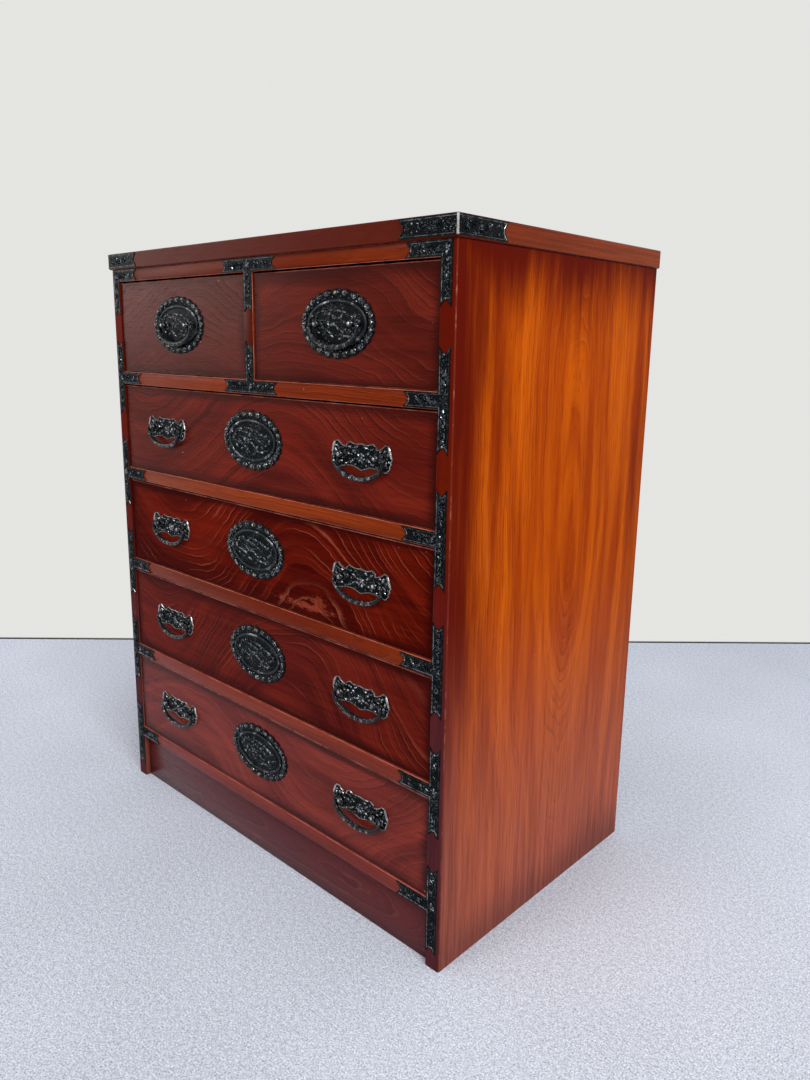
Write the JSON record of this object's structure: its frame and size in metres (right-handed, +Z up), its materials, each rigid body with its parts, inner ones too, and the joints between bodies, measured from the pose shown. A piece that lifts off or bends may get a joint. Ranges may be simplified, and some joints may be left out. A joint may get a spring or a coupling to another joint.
{
  "type": "tansu chest",
  "caption": "Low wooden clothes chest with full-width and half-width sliding drawers, iron straps and plates at the joints and swinging drop handles.",
  "frame": {"origin": "on the floor, under the middle of the whole chest with its hanging bails", "axes": "+Z up, -Y out of the drawer fronts, +X to the right of somebody who faces the drawers"},
  "size_m": [0.742, 0.4586, 0.9181],
  "materials": {
    "case_wood": "semi-gloss clear lacquer over red-brown stained cathedral grain",
    "frame_wood": "semi-gloss clear lacquer, orange-brown",
    "front_wood": "semi-gloss clear lacquer over dark red-brown flame grain",
    "inner_wood": "bare, unfinished light wood",
    "kick_wood": "dull dark stain",
    "iron": "blackened iron, worn bright on its high spots"
  },
  "bodies": {
    "case": {"back_panel": "inner_wood", "bottom_board": "inner_wood", "centre_partition": "frame_wood", "drawer_rails": "frame_wood", "kickboard": "kick_wood", "left_side_board": "case_wood", "right_side_board": "case_wood", "top_rail": "frame_wood", "top_slab": "case_wood", "shelves": "inner_wood", "left_corner_plate": "iron", "right_corner_plate": "iron", "left_slab_plate": "iron", "right_slab_plate": "iron", "left_tee_plates": "iron", "right_tee_plates": "iron", "upper_centre_tee": "iron", "lower_centre_tee": "iron"},
    "small_left_drawer": {"small_left_front": "front_wood", "small_left_box": "inner_wood", "small_left_bottom": "inner_wood", "small_left_plate": "iron", "small_left_posts": "iron"},
    "small_left_handle": {"small_left_bail": "iron"},
    "small_right_drawer": {"small_right_front": "front_wood", "small_right_box": "inner_wood", "small_right_bottom": "inner_wood", "small_right_plate": "iron", "small_right_posts": "iron"},
    "small_right_handle": {"small_right_bail": "iron"},
    "long_1_drawer": {"long_1_front": "front_wood", "long_1_box": "inner_wood", "long_1_bottom": "inner_wood", "long_1_plates": "iron", "long_1_posts": "iron"},
    "long_1_left_handle": {"long_1_bail_left": "iron"},
    "long_1_right_handle": {"long_1_bail_right": "iron"},
    "long_2_drawer": {"long_2_front": "front_wood", "long_2_box": "inner_wood", "long_2_bottom": "inner_wood", "long_2_plates": "iron", "long_2_posts": "iron"},
    "long_2_left_handle": {"long_2_bail_left": "iron"},
    "long_2_right_handle": {"long_2_bail_right": "iron"},
    "long_3_drawer": {"long_3_front": "front_wood", "long_3_box": "inner_wood", "long_3_bottom": "inner_wood", "long_3_plates": "iron", "long_3_posts": "iron"},
    "long_3_left_handle": {"long_3_bail_left": "iron"},
    "long_3_right_handle": {"long_3_bail_right": "iron"},
    "long_4_drawer": {"long_4_front": "front_wood", "long_4_box": "inner_wood", "long_4_bottom": "inner_wood", "long_4_plates": "iron", "long_4_posts": "iron"},
    "long_4_left_handle": {"long_4_bail_left": "iron"},
    "long_4_right_handle": {"long_4_bail_right": "iron"}
  },
  "joints": [
    {"name": "small_left_drawer_slide", "type": "slide", "parent": "case", "child": "small_left_drawer", "axis": [0, -1, 0], "range_m": [0, 0.32]},
    {"name": "small_left_handle_swing", "type": "hinge", "parent": "small_left_drawer", "child": "small_left_handle", "pos_m": [-0.1775, -0.2246, 0.8056], "axis": [-1, 0, 0], "range_deg": [0, 175]},
    {"name": "small_right_drawer_slide", "type": "slide", "parent": "case", "child": "small_right_drawer", "axis": [0, -1, 0], "range_m": [0, 0.32]},
    {"name": "small_right_handle_swing", "type": "hinge", "parent": "small_right_drawer", "child": "small_right_handle", "pos_m": [0.1775, -0.2246, 0.8056], "axis": [-1, 0, 0], "range_deg": [0, 175]},
    {"name": "long_1_drawer_slide", "type": "slide", "parent": "case", "child": "long_1_drawer", "axis": [0, -1, 0], "range_m": [0, 0.32]},
    {"name": "long_1_left_handle_swing", "type": "hinge", "parent": "long_1_drawer", "child": "long_1_left_handle", "pos_m": [-0.2215, -0.2246, 0.6479], "axis": [-1, 0, 0], "range_deg": [0, 175]},
    {"name": "long_1_right_handle_swing", "type": "hinge", "parent": "long_1_drawer", "child": "long_1_right_handle", "pos_m": [0.2215, -0.2246, 0.6479], "axis": [-1, 0, 0], "range_deg": [0, 175]},
    {"name": "long_2_drawer_slide", "type": "slide", "parent": "case", "child": "long_2_drawer", "axis": [0, -1, 0], "range_m": [0, 0.32]},
    {"name": "long_2_left_handle_swing", "type": "hinge", "parent": "long_2_drawer", "child": "long_2_left_handle", "pos_m": [-0.2215, -0.2246, 0.4895], "axis": [-1, 0, 0], "range_deg": [0, 175]},
    {"name": "long_2_right_handle_swing", "type": "hinge", "parent": "long_2_drawer", "child": "long_2_right_handle", "pos_m": [0.2215, -0.2246, 0.4895], "axis": [-1, 0, 0], "range_deg": [0, 175]},
    {"name": "long_3_drawer_slide", "type": "slide", "parent": "case", "child": "long_3_drawer", "axis": [0, -1, 0], "range_m": [0, 0.32]},
    {"name": "long_3_left_handle_swing", "type": "hinge", "parent": "long_3_drawer", "child": "long_3_left_handle", "pos_m": [-0.2215, -0.2246, 0.3311], "axis": [-1, 0, 0], "range_deg": [0, 175]},
    {"name": "long_3_right_handle_swing", "type": "hinge", "parent": "long_3_drawer", "child": "long_3_right_handle", "pos_m": [0.2215, -0.2246, 0.3311], "axis": [-1, 0, 0], "range_deg": [0, 175]},
    {"name": "long_4_drawer_slide", "type": "slide", "parent": "case", "child": "long_4_drawer", "axis": [0, -1, 0], "range_m": [0, 0.32]},
    {"name": "long_4_left_handle_swing", "type": "hinge", "parent": "long_4_drawer", "child": "long_4_left_handle", "pos_m": [-0.2215, -0.2246, 0.1727], "axis": [-1, 0, 0], "range_deg": [0, 175]},
    {"name": "long_4_right_handle_swing", "type": "hinge", "parent": "long_4_drawer", "child": "long_4_right_handle", "pos_m": [0.2215, -0.2246, 0.1727], "axis": [-1, 0, 0], "range_deg": [0, 175]}
  ]
}
